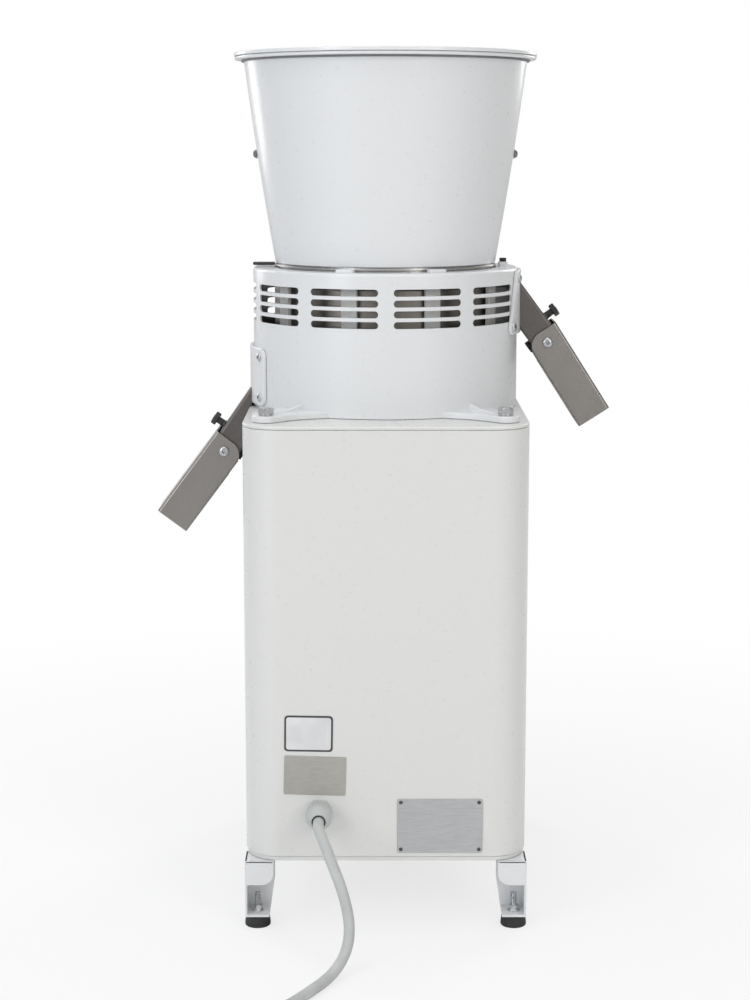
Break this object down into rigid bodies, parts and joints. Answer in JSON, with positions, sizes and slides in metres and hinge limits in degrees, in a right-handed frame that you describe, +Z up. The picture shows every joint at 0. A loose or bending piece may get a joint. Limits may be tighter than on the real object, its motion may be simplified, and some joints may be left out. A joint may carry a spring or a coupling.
{
  "type": "electric grain mill",
  "caption": "Free-standing electric stone mill: steel cabinet on feet, vented round stone housing, conical hopper with lid, two tilting outlet spouts, fineness ring and coiled mains cord.",
  "frame": {"origin": "middle of the footprint without the cord, on the floor", "axes": "+Z up, +Y towards the back where the mains cable leaves, +X towards the lower outlet"},
  "size_m": [0.457, 0.7792, 0.8434],
  "materials": {
    "white_paint": "smooth gloss powder coat",
    "stainless": "satin, slightly warm",
    "zinc": "bright zinc plated",
    "cast": "grey painted casting",
    "stone": "rough corundum stone",
    "black_rubber": "matt black",
    "black_plastic": "fine matt grain",
    "grey_plastic": "smooth matt",
    "grey_cable": "smooth soft sheath",
    "red_plastic": "smooth",
    "green_plastic": "smooth",
    "bearing_steel": "ground",
    "white_post": "smooth"
  },
  "bodies": {
    "mill": {"base_plate": "white_paint", "cabinet_shell": "white_paint", "cable_gland": "grey_plastic", "coil_tie": "black_plastic", "cord_coil": "grey_cable", "front_panel": "white_paint", "housing_bolt_back_left": "zinc", "housing_bolt_back_right": "zinc", "housing_bolt_front_left": "zinc", "housing_bolt_front_right": "zinc", "leg_back_left": "white_paint", "leg_back_right": "white_paint", "leg_front_left": "white_paint", "leg_front_right": "white_paint", "lower_bearing": "bearing_steel", "lower_chute": "stainless", "lower_outlet_flange": "white_paint", "lower_pivot_screw_back": "zinc", "lower_pivot_screw_front": "zinc", "mill_housing": "white_paint", "milling_chamber": "stainless", "motor_body": "cast", "motor_capacitor": "grey_plastic", "motor_fan_cover": "stainless", "motor_flange": "cast", "plug_body": "grey_cable", "post_ring": "white_post", "power_cord": "grey_cable", "sieve_plate": "stainless", "switch_body": "black_plastic", "top_plate": "white_paint", "upper_bearing": "bearing_steel", "upper_chute": "stainless", "upper_outlet_flange": "white_paint", "upper_pivot_screw_back": "zinc", "upper_pivot_screw_front": "zinc"},
    "rotor": {"motor_shaft": "bearing_steel", "cooling_fan": "black_plastic", "runner_carrier": "cast", "runner_stone": "stone", "flour_sweeper": "stainless"},
    "adjuster": {"adjusting_ring": "stainless", "adjusting_lever": "black_plastic", "hopper": "white_paint", "hopper_guard": "stainless", "guard_nut_left": "zinc", "guard_nut_right": "zinc", "bed_stone": "stone"},
    "lid": {"hopper_lid": "white_paint"},
    "upper_spout_body": {"upper_spout": "stainless"},
    "lower_spout_body": {"lower_spout": "stainless"},
    "upper_knob": {"upper_clamp_knob": "black_plastic"},
    "lower_knob": {"lower_clamp_knob": "black_plastic"},
    "lock_screw": {"ring_lock_screw": "black_plastic"},
    "start": {"start_button": "green_plastic"},
    "stop": {"stop_button": "red_plastic"},
    "foot_back_left": {"levelling_foot_back_left": "black_rubber"},
    "foot_back_right": {"levelling_foot_back_right": "black_rubber"},
    "foot_front_left": {"levelling_foot_front_left": "black_rubber"},
    "foot_front_right": {"levelling_foot_front_right": "black_rubber"}
  },
  "joints": [
    {"name": "rotor_spin", "type": "hinge", "parent": "mill", "child": "rotor", "pos_m": [-0.00272, 0.00655, 0.4], "axis": [0, 0, 1], "continuous": true},
    {"name": "fineness_turn", "type": "hinge", "parent": "mill", "child": "adjuster", "pos_m": [-0.00272, 0.00655, 0.6375], "axis": [0, 0, 1], "range_deg": [-20, 20]},
    {"name": "lid_lift", "type": "slide", "parent": "adjuster", "child": "lid", "axis": [0, 0, 1], "range_m": [0, 0.06]},
    {"name": "upper_spout_tilt", "type": "hinge", "parent": "mill", "child": "upper_spout_body", "pos_m": [-0.16512, 0.00655, 0.5586], "axis": [0, -1, 0], "range_deg": [-12, 31]},
    {"name": "lower_spout_tilt", "type": "hinge", "parent": "mill", "child": "lower_spout_body", "pos_m": [0.16048, 0.00655, 0.4484], "axis": [0, 1, 0], "range_deg": [-5, 34]},
    {"name": "upper_knob_turn", "type": "hinge", "parent": "mill", "child": "upper_knob", "pos_m": [-0.16493, 0.00655, 0.58278], "axis": [-0.8018, 0, 0.5976], "continuous": true},
    {"name": "lower_knob_turn", "type": "hinge", "parent": "mill", "child": "lower_knob", "pos_m": [0.16114, 0.00655, 0.47257], "axis": [0.8221, 0, 0.5693], "continuous": true},
    {"name": "lock_screw_turn", "type": "hinge", "parent": "mill", "child": "lock_screw", "pos_m": [-0.12122, 0.00655, 0.638], "axis": [0, 0, 1], "continuous": true},
    {"name": "start_press", "type": "slide", "parent": "mill", "child": "start", "axis": [0, 1, 0], "range_m": [0, 0.0035], "stiffness_N_per_m": 400},
    {"name": "stop_press", "type": "slide", "parent": "mill", "child": "stop", "axis": [0, 1, 0], "range_m": [0, 0.0035], "stiffness_N_per_m": 400},
    {"name": "foot_back_left_turn", "type": "hinge", "parent": "mill", "child": "foot_back_left", "pos_m": [0.12248, 0.17205, 0.006], "axis": [0, 0, 1], "continuous": true},
    {"name": "foot_back_right_turn", "type": "hinge", "parent": "mill", "child": "foot_back_right", "pos_m": [-0.12792, 0.17205, 0.006], "axis": [0, 0, 1], "continuous": true},
    {"name": "foot_front_left_turn", "type": "hinge", "parent": "mill", "child": "foot_front_left", "pos_m": [0.12248, -0.15895, 0.006], "axis": [0, 0, 1], "continuous": true},
    {"name": "foot_front_right_turn", "type": "hinge", "parent": "mill", "child": "foot_front_right", "pos_m": [-0.12792, -0.15895, 0.006], "axis": [0, 0, 1], "continuous": true}
  ]
}
